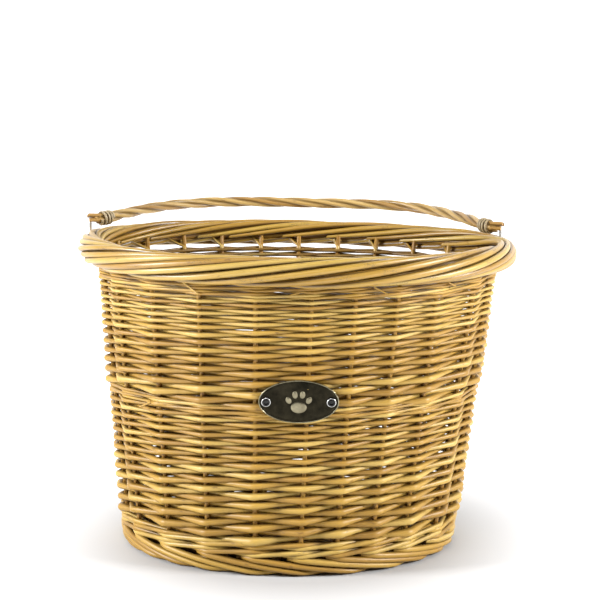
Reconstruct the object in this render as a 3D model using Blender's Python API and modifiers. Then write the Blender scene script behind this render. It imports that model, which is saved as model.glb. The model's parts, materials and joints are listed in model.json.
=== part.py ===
"""Oval hand-woven willow basket with a rope border, a swing handle and a riveted name plate.

Metres, +Z up, -Y is the front. The origin is on the floor, at the centre of the whole basket's outline.
"""

import math

import bmesh
import bpy
from mathutils import Vector

# Wall: its outer face is an egg-shaped oval that widens in straight lines from the floor to the border.
BASE_HALF_WIDTH = 0.1704
BASE_FRONT_DEPTH = 0.138
BASE_BACK_DEPTH = 0.098
TOP_HALF_WIDTH = 0.2033
TOP_FRONT_DEPTH = 0.1725
TOP_BACK_DEPTH = 0.130
WALL_TOP = 0.286
BASE_SHIFT_X = -0.010
SIDE_SLOPE = 0.012
WALL_THICKNESS = 0.0136
WALE_THICKNESS = 0.0144
FOOT_THICKNESS = 0.0165
RING_SEGMENTS = 48

# Heights of the woven bands.
FOOT_TOP = 0.020
BASE_WALE_TOP = 0.034
SEAM_HEIGHT = 0.168
UPPER_SIDING_TOP = 0.272
TOP_WALE_TOP = 0.2835

# Rope border.
BORDER_HALF_WIDTH = 0.206
BORDER_FRONT_DEPTH = 0.1749
BORDER_BACK_DEPTH = 0.1317
BORDER_HEIGHT = 0.298
BORDER_RADIUS = 0.0139
BORDER_SEGMENTS = 64

# Stakes: the gaps between neighbours, as parts of the way round, from the one left of the front's middle.
STAKE_RADIUS = 0.0023
STAKE_BOTTOM = 0.004
STAKE_TOP = 0.2965
FIRST_STAKE = -0.0235
FRONT_RIGHT_GAPS = [0.0475, 0.039, 0.038, 0.041, 0.051]
FRONT_LEFT_GAPS = [0.052, 0.0505, 0.054]
BACK_GAPS = 16

# Base: thick cross sticks, pierced by thinner long sticks, inside the base weave.
BASE_WEAVE_BOTTOM = 0.008
BASE_WEAVE_TOP = 0.020
STICK_HEIGHT = 0.014
STICK_END_INSET = 0.0115
CROSS_STICKS = 7
CROSS_STICK_RADIUS = 0.0045
CROSS_STICK_SPACING = 0.034
LONG_STICKS = 3
LONG_STICK_RADIUS = 0.0025
LONG_STICK_SPACING = 0.030
LONG_STICKS_Y = -0.020

# Handle: a bow whose two ends turn outwards along the hinge axis.
HANDLE_RADIUS = 0.0058
HANDLE_HALF_SPAN = 0.196
HANDLE_REACH = 0.152
HANDLE_ARCH_POWER = 4
HANDLE_END = 0.206
HANDLE_CORNER = 0.012
HANDLE_CORNER_OUT = 0.0084
HANDLE_SHIFT_X = -0.006
HANDLE_TILT = math.radians(2)
PIVOT_Y = 0.024
PIVOT_HEIGHT = 0.3205
BINDING_RADIUS = 0.0078
BINDING_STEPS = 5

# Hinge wires: an arm in the handle's end and a leg down into the border.
WIRE_RADIUS = 0.0015
WIRE_RUNNING_GAP = 0.0004
WIRE_ARM_START = 0.1985
WIRE_LEG = 0.2095
WIRE_BEND = 0.004
WIRE_FOOT = 0.300

# Name plate and its rivets.
PLATE_WIDTH = 0.074
PLATE_HEIGHT = 0.0415
PLATE_THICKNESS = 0.0016
PLATE_EDGE = 0.0005
PLATE_PLACE = 0.0165
PLATE_CENTRE_HEIGHT = 0.1765
RIVET_SPACING = 0.060
RIVET_HEAD_RADIUS = 0.0047
RIVET_HEAD_HEIGHT = 0.0021
RIVET_CROWN = 0.72
RIVET_SHOULDER = 0.93
RIVET_STEM_RADIUS = 0.0015
RIVET_EYE_RADIUS = 0.0018
RIVET_EYE_DEPTH = 0.0014
RIVET_TAIL_RADIUS = 0.0027
RIVET_TAIL_LENGTH = 0.001
RIVET_STEPS = 24
WASHER_RADIUS = 0.006
WASHER_THICKNESS = 0.001
WALL_BOW = 0.0028

GAP = 0.0003
BORE_GAP = 0.00036
HANDLE_BACK = PIVOT_Y + HANDLE_REACH * math.cos(HANDLE_TILT) + HANDLE_RADIUS
CENTRE_Y = (BORDER_FRONT_DEPTH + BORDER_RADIUS - HANDLE_BACK) / 2

# Name, colour, roughness, metallic.
WILLOW_SIDING = ("willow_siding", (0.62, 0.40, 0.17), 0.55, 0.0)
WILLOW_STAKE = ("willow_stake", (0.55, 0.34, 0.14), 0.6, 0.0)
WILLOW_BORDER = ("willow_border", (0.60, 0.37, 0.15), 0.5, 0.0)
WILLOW_BASE = ("willow_base", (0.52, 0.33, 0.14), 0.6, 0.0)
WILLOW_HANDLE = ("willow_handle", (0.58, 0.35, 0.14), 0.5, 0.0)
SPLIT_WILLOW = ("split_willow", (0.66, 0.45, 0.22), 0.5, 0.0)
HINGE_STEEL = ("hinge_steel", (0.62, 0.62, 0.60), 0.35, 1.0)
PLATE_METAL = ("plate_metal", (0.16, 0.14, 0.10), 0.35, 1.0)
RIVET_METAL = ("rivet_metal", (0.72, 0.71, 0.68), 0.25, 1.0)


def clear_scene():
    for obj in list(bpy.data.objects):
        bpy.data.objects.remove(obj)


def new_collection(name):
    collection = bpy.data.collections.new(name)
    bpy.context.scene.collection.children.link(collection)
    return collection


def material(finish):
    """One Principled material for each finish, made the first time it is asked for."""
    name, colour, roughness, metallic = finish
    found = bpy.data.materials.get(name)
    if found:
        return found
    made = bpy.data.materials.new(name)
    made.use_nodes = True
    shader = made.node_tree.nodes["Principled BSDF"]
    shader.inputs["Base Color"].default_value = (*colour, 1)
    shader.inputs["Roughness"].default_value = roughness
    shader.inputs["Metallic"].default_value = metallic
    return made


def finish(obj, look):
    obj.data.materials.append(material(look))
    if obj.type == "MESH":
        obj.data.shade_smooth()
        obj.data.set_sharp_from_angle(angle=math.radians(40))
    return obj


def as_cutter(obj):
    obj.hide_render = True
    obj.display_type = "WIRE"
    return obj


def oval(angle, half_width, front_depth, back_depth):
    depth = front_depth if math.sin(angle) < 0 else back_depth
    return half_width * math.cos(angle), depth * math.sin(angle) + CENTRE_Y


def wall_point(angle, height, inset=0.0):
    """A point this far inside the wall's outer face. Angle 0 is the right side and -90 degrees the front."""
    rise = height / WALL_TOP
    x, y = oval(
        angle,
        BASE_HALF_WIDTH + (TOP_HALF_WIDTH - BASE_HALF_WIDTH) * rise - inset,
        BASE_FRONT_DEPTH + (TOP_FRONT_DEPTH - BASE_FRONT_DEPTH) * rise - inset,
        BASE_BACK_DEPTH + (TOP_BACK_DEPTH - BASE_BACK_DEPTH) * rise - inset,
    )
    x += BASE_SHIFT_X * (1 - rise)
    return Vector((x, y, height - SIDE_SLOPE * x * rise))


def border_point(angle):
    x, y = oval(angle, BORDER_HALF_WIDTH, BORDER_FRONT_DEPTH, BORDER_BACK_DEPTH)
    return Vector((x, y, BORDER_HEIGHT - SIDE_SLOPE * x))


def ring_angles(count):
    return [2 * math.pi * i / count for i in range(count)]


def angle_at(part_of_way):
    """The angle this part of the wall's way round from the front's middle, positive to the right."""
    steps = 720
    front = -math.pi / 2
    points = [wall_point(front + 2 * math.pi * i / steps, SEAM_HEIGHT) for i in range(steps + 1)]
    lengths = [0.0]
    for here, there in zip(points, points[1:]):
        lengths.append(lengths[-1] + (there - here).length)
    wanted = part_of_way % 1.0 * lengths[-1]
    i = next(i for i, length in enumerate(lengths) if length >= wanted)
    return front + 2 * math.pi * i / steps


def stake_angles():
    back_gap = (1 - sum(FRONT_RIGHT_GAPS) - sum(FRONT_LEFT_GAPS)) / BACK_GAPS
    gaps = FRONT_RIGHT_GAPS + [back_gap] * BACK_GAPS + FRONT_LEFT_GAPS[::-1]
    places = [FIRST_STAKE + sum(gaps[:i]) for i in range(len(gaps))]
    return [angle_at(place) for place in places]


def tube(name, points, radius, collection, closed=False, detail=2):
    """A round rod along a line of points."""
    curve = bpy.data.curves.new(name, "CURVE")
    curve.dimensions = "3D"
    curve.bevel_depth = radius
    curve.bevel_resolution = detail
    curve.use_fill_caps = True
    spline = curve.splines.new("POLY")
    spline.points.add(len(points) - 1)
    for control, point in zip(spline.points, points):
        control.co = (*point, 1)
    spline.use_cyclic_u = closed
    obj = bpy.data.objects.new(name, curve)
    collection.objects.link(obj)
    return obj


def as_mesh(obj):
    """The same shape as one closed mesh, which a Boolean can take."""
    bpy.context.view_layer.update()
    name, collection, place = obj.name, obj.users_collection[0], obj.matrix_world.copy()
    mesh = bpy.data.meshes.new_from_object(obj.evaluated_get(bpy.context.evaluated_depsgraph_get()))
    bpy.data.objects.remove(obj)
    shape = bmesh.new()
    shape.from_mesh(mesh)
    bmesh.ops.remove_doubles(shape, verts=shape.verts, dist=1e-5)
    bmesh.ops.recalc_face_normals(shape, faces=shape.faces)
    shape.to_mesh(mesh)
    shape.free()
    solid = bpy.data.objects.new(name, mesh)
    solid.matrix_world = place
    collection.objects.link(solid)
    return solid


def joined(name, pieces):
    """Separate solids as one cutter."""
    shape = bmesh.new()
    for piece in pieces:
        shape.from_mesh(piece.data)
    mesh = bpy.data.meshes.new(name)
    shape.to_mesh(mesh)
    shape.free()
    cutter = bpy.data.objects.new(name, mesh)
    pieces[0].users_collection[0].objects.link(cutter)
    for piece in pieces:
        bpy.data.objects.remove(piece)
    return as_cutter(cutter)


def cut(obj, *shapes):
    for shape in shapes:
        modifier = obj.modifiers.new("cut by " + shape.name, "BOOLEAN")
        modifier.operation = "DIFFERENCE"
        modifier.object = shape
    return obj


def lofted_ring(name, loops, collection):
    """A closed ring whose skin runs through the loops in turn and back to the first."""
    shape = bmesh.new()
    rows = [[shape.verts.new(point) for point in loop] for loop in loops]
    for row, following in zip(rows, rows[1:] + rows[:1]):
        for i in range(len(row)):
            shape.faces.new((row[i - 1], row[i], following[i], following[i - 1]))
    bmesh.ops.recalc_face_normals(shape, faces=shape.faces)
    mesh = bpy.data.meshes.new(name)
    shape.to_mesh(mesh)
    shape.free()
    obj = bpy.data.objects.new(name, mesh)
    collection.objects.link(obj)
    return obj


def turned(name, profile, collection, steps):
    """A solid turned about Z from a profile of (radius, height) that runs from top to bottom."""
    mesh = bpy.data.meshes.new(name)
    edges = [(i, i + 1) for i in range(len(profile) - 1)]
    mesh.from_pydata([(radius, 0, height) for radius, height in profile], edges, [])
    obj = bpy.data.objects.new(name, mesh)
    collection.objects.link(obj)
    screw = obj.modifiers.new("turn", "SCREW")
    screw.steps = steps
    screw.render_steps = steps
    screw.use_merge_vertices = True
    screw.merge_threshold = 1e-5
    return obj


def band(name, bottom, top, thickness, look, collection, bores):
    """One woven band of the wall, as a ring with a bore for each stake."""
    outer = (WALL_THICKNESS - thickness) / 2
    inner = outer + thickness
    corners = [(bottom, outer), (top, outer), (top, inner), (bottom, inner)]
    loops = [
        [wall_point(angle, height, inset) for angle in ring_angles(RING_SEGMENTS)]
        for height, inset in corners
    ]
    return finish(cut(lofted_ring(name, loops, collection), bores), look)


def stake_line(angle, bottom, top):
    inset = WALL_THICKNESS / 2
    return [wall_point(angle, bottom, inset), wall_point(angle, top, inset)]


def make_stakes(collection, cutters):
    """The stakes, and the cutter of the bores they stand in."""
    bores = []
    for number, angle in enumerate(stake_angles(), 1):
        name = f"stake_{number:02d}"
        line = stake_line(angle, STAKE_BOTTOM, STAKE_TOP)
        finish(tube(name, line, STAKE_RADIUS, collection), WILLOW_STAKE)
        line = stake_line(angle, STAKE_BOTTOM - GAP, STAKE_TOP + GAP)
        bores.append(as_mesh(tube("bore_" + name, line, STAKE_RADIUS + BORE_GAP, cutters)))
    return joined("stake_bores", bores)


def base_chord(across, place, inset):
    """Both ends of a base stick: across the oval at x = place, or along it at y = place."""
    half_width = BASE_HALF_WIDTH - inset
    if across:
        part = math.sqrt(1 - (place / half_width) ** 2)
        front = Vector((place, -(BASE_FRONT_DEPTH - inset) * part, 0))
        back = Vector((place, (BASE_BACK_DEPTH - inset) * part, 0))
    else:
        depth = (BASE_FRONT_DEPTH if place < 0 else BASE_BACK_DEPTH) - inset
        reach = half_width * math.sqrt(1 - (place / depth) ** 2)
        front, back = Vector((-reach, place, 0)), Vector((reach, place, 0))
    centre = Vector((BASE_SHIFT_X, CENTRE_Y, STICK_HEIGHT))
    return [front + centre, back + centre]


def make_base_sticks(collection, cutters):
    """The cross sticks with the long sticks through them, and the two cutters of the bores for them."""
    long_bores = []
    for number in range(LONG_STICKS):
        place = LONG_STICKS_Y + (number - (LONG_STICKS - 1) / 2) * LONG_STICK_SPACING
        name = f"long_stick_{number + 1}"
        line = base_chord(False, place, STICK_END_INSET)
        finish(tube(name, line, LONG_STICK_RADIUS, collection), WILLOW_BASE)
        line = base_chord(False, place, STICK_END_INSET - GAP)
        long_bores.append(as_mesh(tube("bore_" + name, line, LONG_STICK_RADIUS + BORE_GAP, cutters)))
    long_bores = joined("long_stick_bores", long_bores)
    cross_bores = []
    for number in range(CROSS_STICKS):
        place = (number - (CROSS_STICKS - 1) / 2) * CROSS_STICK_SPACING
        name = f"cross_stick_{number + 1}"
        line = base_chord(True, place, STICK_END_INSET)
        stick = as_mesh(tube(name, line, CROSS_STICK_RADIUS, collection))
        finish(cut(stick, long_bores), WILLOW_BASE)
        line = base_chord(True, place, STICK_END_INSET - GAP)
        cross_bores.append(as_mesh(tube("bore_" + name, line, CROSS_STICK_RADIUS + BORE_GAP, cutters)))
    return [long_bores, joined("cross_stick_bores", cross_bores)]


def make_base_weave(collection, bores):
    """The woven bottom, as an oval slab inside the foot border."""
    curve = bpy.data.curves.new("base_weave", "CURVE")
    curve.dimensions = "2D"
    curve.fill_mode = "BOTH"
    curve.extrude = (BASE_WEAVE_TOP - BASE_WEAVE_BOTTOM) / 2
    spline = curve.splines.new("POLY")
    spline.points.add(RING_SEGMENTS - 1)
    for control, angle in zip(spline.points, ring_angles(RING_SEGMENTS)):
        edge = wall_point(angle, 0, FOOT_THICKNESS + GAP)
        control.co = (edge.x, edge.y, 0, 1)
    spline.use_cyclic_u = True
    obj = bpy.data.objects.new("base_weave", curve)
    obj.location.z = (BASE_WEAVE_TOP + BASE_WEAVE_BOTTOM) / 2
    collection.objects.link(obj)
    return finish(cut(as_mesh(obj), *bores), WILLOW_BASE)


def make_foot_border(collection, stake_bores, stick_bores):
    """The ring that the basket stands on. Its underside is flat."""
    corners = [(0, 0), (FOOT_TOP, 0), (FOOT_TOP, FOOT_THICKNESS), (0, FOOT_THICKNESS)]
    loops = [
        [wall_point(angle, height, inset) for angle in ring_angles(RING_SEGMENTS)]
        for height, inset in corners
    ]
    foot = lofted_ring("foot_border", loops, collection)
    return finish(cut(foot, stake_bores, *stick_bores), WILLOW_BORDER)


def make_wall(collection, bores, rivet_bores):
    for name, bottom, top, thickness, look in (
        ("base_wale", FOOT_TOP, BASE_WALE_TOP, WALE_THICKNESS, WILLOW_BORDER),
        ("lower_siding", BASE_WALE_TOP, SEAM_HEIGHT, WALL_THICKNESS, WILLOW_SIDING),
        ("upper_siding", SEAM_HEIGHT, UPPER_SIDING_TOP, WALL_THICKNESS, WILLOW_SIDING),
        ("top_wale", UPPER_SIDING_TOP, TOP_WALE_TOP, WALE_THICKNESS, WILLOW_SIDING),
    ):
        ring = band(name, bottom + GAP, top, thickness, look, collection, bores)
        if name == "upper_siding":
            cut(ring, *rivet_bores)


def make_rope_border(collection, stake_bores, wire_bores):
    path = [border_point(angle) for angle in ring_angles(BORDER_SEGMENTS)]
    border = as_mesh(tube("rope_border", path, BORDER_RADIUS, collection, closed=True, detail=3))
    return finish(cut(border, stake_bores, wire_bores), WILLOW_BORDER)


def handle_point(along, out):
    """A point of the handle: along the hinge axis from its middle, and out square to it in the bow's plane."""
    x = HANDLE_SHIFT_X + along
    y = CENTRE_Y + PIVOT_Y + out * math.cos(HANDLE_TILT)
    return Vector((x, y, PIVOT_HEIGHT - SIDE_SLOPE * x + out * math.sin(HANDLE_TILT)))


def corner_points(side, steps=6):
    """The rounded corner where one arm of the bow turns outwards, from the bow to the straight end."""
    slope = HANDLE_ARCH_POWER * HANDLE_REACH / HANDLE_HALF_SPAN
    run = HANDLE_CORNER / math.hypot(1, slope)
    start = (HANDLE_HALF_SPAN - run, run * slope)
    corner = (HANDLE_HALF_SPAN, 0.0)
    end = (HANDLE_HALF_SPAN + HANDLE_CORNER_OUT, 0.0)
    points = []
    for i in range(steps + 1):
        t = i / steps
        along, out = (
            (1 - t) ** 2 * start[axis] + 2 * t * (1 - t) * corner[axis] + t * t * end[axis]
            for axis in (0, 1)
        )
        points.append(handle_point(side * along, out))
    return points


def bow_points(steps=36):
    """The arch between the two corners, from the left one to the right one."""
    start = corner_points(1)[0].x - HANDLE_SHIFT_X
    points = []
    for i in range(1, steps):
        along = start * math.sin(math.pi / 2 * (2 * i / steps - 1))
        out = HANDLE_REACH * (1 - abs(along / HANDLE_HALF_SPAN) ** HANDLE_ARCH_POWER)
        points.append(handle_point(along, out))
    return points


def make_handle(collection, cutters, wire_bores):
    left = [handle_point(-HANDLE_END, 0)] + corner_points(-1)[::-1]
    right = corner_points(1) + [handle_point(HANDLE_END, 0)]
    bow = as_mesh(tube("handle_bow", left + bow_points() + right, HANDLE_RADIUS, collection, detail=3))
    finish(cut(bow, wire_bores), WILLOW_HANDLE)
    for name, side in (("left", -1), ("right", 1)):
        points = corner_points(side)[:BINDING_STEPS]
        sleeve = as_mesh(tube("handle_binding_" + name, points, BINDING_RADIUS, collection, detail=3))
        through = [2 * points[0] - points[1], *points, 2 * points[-1] - points[-2]]
        core = as_mesh(tube("core_" + name, through, HANDLE_RADIUS + BORE_GAP, cutters, detail=3))
        finish(cut(sleeve, as_cutter(core)), SPLIT_WILLOW)


def wire_line(side, arm_start, foot):
    """An arm along the hinge axis, a bend and a leg down."""
    top = handle_point(side * WIRE_LEG, 0)
    bend = handle_point(side * (WIRE_LEG - WIRE_BEND), 0)
    points = [handle_point(side * arm_start, 0), bend]
    for i in range(1, 4):
        turn = math.radians(30 * i)
        across = side * WIRE_BEND * math.sin(turn)
        points.append(Vector((bend.x + across, bend.y, bend.z - WIRE_BEND * (1 - math.cos(turn)))))
    points.append(Vector((top.x, top.y, foot - SIDE_SLOPE * top.x)))
    return points


def make_hinge_wires(collection, cutters):
    """The two wires, and the cutter of the bores they sit in."""
    bores = []
    for name, side in (("left", -1), ("right", 1)):
        line = wire_line(side, WIRE_ARM_START, WIRE_FOOT)
        finish(tube("hinge_wire_" + name, line, WIRE_RADIUS, collection), HINGE_STEEL)
        line = wire_line(side, WIRE_ARM_START - 2 * GAP, WIRE_FOOT - GAP)
        radius = WIRE_RADIUS + WIRE_RUNNING_GAP
        bores.append(as_mesh(tube("bore_wire_" + name, line, radius, cutters)))
    return joined("wire_bores", bores)


def plate_frame():
    """An empty on the wall's outer face at the plate's middle: X along the wall, Z straight out of it."""
    angle = angle_at(PLATE_PLACE)
    step = 0.001
    middle = wall_point(angle, PLATE_CENTRE_HEIGHT)
    along = wall_point(angle + step, PLATE_CENTRE_HEIGHT) - wall_point(angle - step, PLATE_CENTRE_HEIGHT)
    upwards = wall_point(angle, PLATE_CENTRE_HEIGHT + step) - wall_point(angle, PLATE_CENTRE_HEIGHT - step)
    along.normalize()
    out = along.cross(upwards).normalized()
    frame = bpy.data.objects.new("plate_frame", None)
    rotation = out.to_track_quat("Z", "Y").to_matrix()
    rotation.col[0], rotation.col[1], rotation.col[2] = along, out.cross(along), out
    frame.matrix_world = rotation.to_4x4()
    frame.location = middle
    return frame


def placed(obj, frame, x, z):
    obj.parent = frame
    obj.location = (x, 0, z)
    return obj


def stem_cutter(name, frame, x, cutters):
    stem = turned(
        name,
        [(0, 0.01), (RIVET_STEM_RADIUS + GAP, 0.01), (RIVET_STEM_RADIUS + GAP, -0.02), (0, -0.02)],
        cutters,
        RIVET_STEPS,
    )
    return as_cutter(placed(stem, frame, x, 0))


def make_plate(collection, frame, stems):
    outline = bpy.data.curves.new("name_plate", "CURVE")
    outline.dimensions = "2D"
    outline.fill_mode = "BOTH"
    outline.extrude = PLATE_THICKNESS / 2 - PLATE_EDGE
    outline.bevel_depth = PLATE_EDGE
    outline.bevel_resolution = 1
    spline = outline.splines.new("POLY")
    spline.points.add(RING_SEGMENTS - 1)
    for control, angle in zip(spline.points, ring_angles(RING_SEGMENTS)):
        x = (PLATE_WIDTH / 2 - PLATE_EDGE) * math.cos(angle)
        y = (PLATE_HEIGHT / 2 - PLATE_EDGE) * math.sin(angle)
        control.co = (x, y, 0, 1)
    spline.use_cyclic_u = True
    plate = bpy.data.objects.new("name_plate", outline)
    collection.objects.link(plate)
    plate = placed(as_mesh(plate), frame, 0, GAP + PLATE_THICKNESS / 2)
    return finish(cut(plate, *stems), PLATE_METAL)


def make_rivet(side, name, collection, frame):
    """A tubular rivet: a domed head with an eye, a stem through plate and wall, and a closed tail."""
    head = PLATE_THICKNESS + 2 * GAP
    inside = -(WALL_THICKNESS + WALL_BOW + 2 * GAP + WASHER_THICKNESS)
    top = head + RIVET_HEAD_HEIGHT
    profile = [
        (0, top - RIVET_EYE_DEPTH),
        (RIVET_EYE_RADIUS, top - RIVET_EYE_DEPTH),
        (RIVET_EYE_RADIUS, top - 0.0002),
        (RIVET_EYE_RADIUS + 0.0004, top),
        (RIVET_HEAD_RADIUS * RIVET_CROWN, top - 0.0003),
        (RIVET_HEAD_RADIUS * RIVET_SHOULDER, top - 0.0010),
        (RIVET_HEAD_RADIUS, head),
        (RIVET_STEM_RADIUS, head),
        (RIVET_STEM_RADIUS, inside - GAP),
        (RIVET_TAIL_RADIUS, inside - GAP),
        (RIVET_TAIL_RADIUS * 0.8, inside - GAP - RIVET_TAIL_LENGTH),
        (0, inside - GAP - RIVET_TAIL_LENGTH),
    ]
    x = side * RIVET_SPACING / 2
    rivet = placed(turned("rivet_" + name, profile, collection, RIVET_STEPS), frame, x, 0)
    finish(rivet, RIVET_METAL)
    bore = RIVET_STEM_RADIUS + GAP
    lower, upper = inside, inside + WASHER_THICKNESS
    ring = [(bore, upper), (WASHER_RADIUS, upper), (WASHER_RADIUS, lower), (bore, lower), (bore, upper)]
    washer = turned("washer_" + name, ring, collection, RIVET_STEPS)
    finish(placed(washer, frame, x, 0), RIVET_METAL)


def main():
    clear_scene()
    basket = new_collection("wicker_basket")
    cutters = new_collection("cutters")
    frame = plate_frame()
    basket.objects.link(frame)
    stems = [
        stem_cutter("stem_" + name, frame, side * RIVET_SPACING / 2, cutters)
        for name, side in (("left", -1), ("right", 1))
    ]
    stake_bores = make_stakes(basket, cutters)
    stick_bores = make_base_sticks(basket, cutters)
    wire_bores = make_hinge_wires(basket, cutters)
    make_base_weave(basket, stick_bores)
    make_foot_border(basket, stake_bores, stick_bores)
    make_wall(basket, stake_bores, stems)
    make_rope_border(basket, stake_bores, wire_bores)
    make_handle(basket, cutters, wire_bores)
    make_plate(basket, frame, stems)
    for name, side in (("left", -1), ("right", 1)):
        make_rivet(side, name, basket, frame)


main()
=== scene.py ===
"""Looks of the oval hand-woven willow basket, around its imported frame.

Metres, +Z up, -Y is the front. Each willow rod is swept along the path that the weave gives it,
in front of some stakes and behind the others.
"""

import json
import math
import zlib

import bmesh
import bpy
import numpy as np
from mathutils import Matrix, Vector

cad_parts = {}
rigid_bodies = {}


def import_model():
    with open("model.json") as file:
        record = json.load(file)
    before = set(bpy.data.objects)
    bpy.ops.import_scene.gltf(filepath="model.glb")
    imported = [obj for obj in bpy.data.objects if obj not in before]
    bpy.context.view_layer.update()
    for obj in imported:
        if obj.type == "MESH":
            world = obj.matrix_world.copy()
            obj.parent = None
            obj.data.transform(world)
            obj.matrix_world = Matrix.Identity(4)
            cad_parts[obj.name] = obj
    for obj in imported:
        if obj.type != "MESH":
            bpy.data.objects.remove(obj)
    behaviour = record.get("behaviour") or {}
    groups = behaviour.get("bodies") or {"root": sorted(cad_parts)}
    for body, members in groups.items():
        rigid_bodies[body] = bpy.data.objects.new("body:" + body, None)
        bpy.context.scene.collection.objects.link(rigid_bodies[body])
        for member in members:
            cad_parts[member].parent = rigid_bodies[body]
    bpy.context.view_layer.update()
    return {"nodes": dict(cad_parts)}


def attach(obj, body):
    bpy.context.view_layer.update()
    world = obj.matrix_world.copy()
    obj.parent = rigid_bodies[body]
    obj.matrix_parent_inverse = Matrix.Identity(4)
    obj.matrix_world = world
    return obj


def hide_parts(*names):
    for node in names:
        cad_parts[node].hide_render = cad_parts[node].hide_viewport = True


# The wall and the border of the frame, as the part states them. The sizes of an oval are its half
# width, its depth in front of the centre and its depth behind it.
BASE_SIZES = (0.1704, 0.138, 0.098)
TOP_SIZES = (0.2033, 0.1725, 0.130)
WALL_TOP = 0.286
BASE_SHIFT_X = -0.010
SIDE_SLOPE = 0.012
WALL_MIDDLE = 0.0068
SEAM_HEIGHT = 0.168
BORDER_SIZES = (0.206, 0.1749, 0.1317)
BORDER_RADIUS = 0.0139
BORDER_HEIGHT = 0.298

# The stakes. The first one and the gaps between them are parts of the way round the seam.
STAKE_RADIUS = 0.0023
FIRST_STAKE = -0.0235
FRONT_RIGHT_GAPS = [0.0475, 0.039, 0.038, 0.041, 0.051]
FRONT_LEFT_GAPS = [0.052, 0.0505, 0.054]
BACK_GAPS = 16
STAKES = 24

# The sticks of the base. The rings of the base weave cross the middle five of the cross sticks.
STICK_HEIGHT = 0.014
CROSS_STICK_SPACING = 0.034
LONG_STICK_SPACING = 0.030
LONG_STICKS_Y = -0.020

# The handle, a flattened bow that swings on two wires.
HANDLE_HALF_SPAN = 0.196
HANDLE_REACH = 0.152
HANDLE_ARCH_POWER = 4
HANDLE_CORNER = 0.012
HANDLE_SHIFT_X = -0.006
HANDLE_TILT = math.radians(2)
HANDLE_RADIUS = 0.0058
PIVOT_Y = 0.024
PIVOT_HEIGHT = 0.3205
BOW_NORMAL = np.array([0.0, -math.sin(HANDLE_TILT), math.cos(HANDLE_TILT)])

# The name plate. Its place is the part of the way round the seam.
PLATE_WIDTH = 0.074
PLATE_HEIGHT = 0.0415
PLATE_FACE = 0.0019
PLATE_PLACE = 0.0165
PLATE_CENTRE_HEIGHT = 0.1765
RIVET_SPACING = 0.060

FULL_TURN = 2 * math.pi
FRONT = -math.pi / 2
UP = np.array([0.0, 0.0, 1.0])


def clear_scene():
    for obj in list(bpy.data.objects):
        bpy.data.objects.remove(obj)


clear_scene()
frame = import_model()
# The middle of the ovals. It is off the origin, so that the object as a whole is centred.
BORDER_FRONT = BORDER_SIZES[1] + BORDER_RADIUS
HANDLE_BACK = PIVOT_Y + HANDLE_REACH * math.cos(HANDLE_TILT) + HANDLE_RADIUS
CENTRE_Y = (BORDER_FRONT - HANDLE_BACK) / 2


# Places on the wall and the border, for arrays of angles. Angle 0 is the right side, and FRONT
# the front.


def unit(vectors):
    return vectors / np.linalg.norm(vectors, axis=-1, keepdims=True)


def held(values):
    """The values, held between 0 and 1."""
    return np.clip(values, 0, 1)


def parabola(start, corner, end, part):
    """The curve from start to end that is drawn towards the corner, at this part of the way."""
    return (1 - part) ** 2 * start + 2 * part * (1 - part) * corner + part**2 * end


def oval(angle, sizes):
    half_width, front_depth, back_depth = sizes
    depth = np.where(np.sin(angle) < 0, front_depth, back_depth)
    return half_width * np.cos(angle), depth * np.sin(angle) + CENTRE_Y


def wall(angle, height, inset=0.0):
    rise = np.asarray(height) / WALL_TOP
    sizes = [base + (top - base) * rise - inset for base, top in zip(BASE_SIZES, TOP_SIZES)]
    x, y = oval(angle, sizes)
    x = x + BASE_SHIFT_X * (1 - rise)
    return np.stack([x, y, height - SIDE_SLOPE * x * rise], axis=-1)


def border(angle):
    x, y = oval(angle, BORDER_SIZES)
    return np.stack([x, y, BORDER_HEIGHT - SIDE_SLOPE * x], axis=-1)


def outward(angle):
    """The level direction straight out of the wall."""
    half_width, front_depth, back_depth = TOP_SIZES
    depth = np.where(np.sin(angle) < 0, front_depth, back_depth)
    return unit(np.stack([np.cos(angle) / half_width, np.sin(angle) / depth, 0 * angle], axis=-1))


class Round:
    """Distances round a closed line of points, from the front's middle and positive to the
    right."""

    def __init__(self, line):
        self.angles = np.linspace(FRONT, FRONT + FULL_TURN, 1441)
        points = line(self.angles)
        steps = np.linalg.norm(np.diff(points, axis=0), axis=1)
        self.lengths = np.concatenate([[0.0], np.cumsum(steps)])
        self.length = self.lengths[-1]

    def angle(self, distance):
        turns = np.floor(np.asarray(distance) / self.length)
        within = distance - turns * self.length
        return np.interp(within, self.lengths, self.angles) + FULL_TURN * turns

    def distance(self, angle):
        turns = np.floor((np.asarray(angle) - FRONT) / FULL_TURN)
        within = angle - FULL_TURN * turns
        return np.interp(within, self.angles, self.lengths) + turns * self.length


SEAM = Round(lambda angle: wall(angle, SEAM_HEIGHT))
RIM = Round(border)
FOOT = Round(lambda angle: wall(angle, 0.0))


def seam_angle(place):
    """The angle at this part of the way round the seam, rounded up to a half degree as in the
    part."""
    half_degree = math.radians(0.5)
    return FRONT + half_degree * np.ceil((SEAM.angle(place * SEAM.length) - FRONT) / half_degree)


def stake_angles():
    back_gap = (1 - sum(FRONT_RIGHT_GAPS) - sum(FRONT_LEFT_GAPS)) / BACK_GAPS
    gaps = FRONT_RIGHT_GAPS + [back_gap] * BACK_GAPS + FRONT_LEFT_GAPS[::-1]
    places = FIRST_STAKE + np.concatenate([[0.0], np.cumsum(gaps[:-1])])
    return seam_angle(places)


STAKE_ANGLES = stake_angles()


def stake_angle(number):
    """The angle of a stake by its number, which counts on past a full round. Parts lie between
    two stakes."""
    number = np.asarray(number, float)
    turns = np.floor(number / STAKES)
    table = np.append(STAKE_ANGLES, STAKE_ANGLES[0] + FULL_TURN)
    return np.interp(number - turns * STAKES, np.arange(STAKES + 1), table) + FULL_TURN * turns


# Rods.


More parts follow.
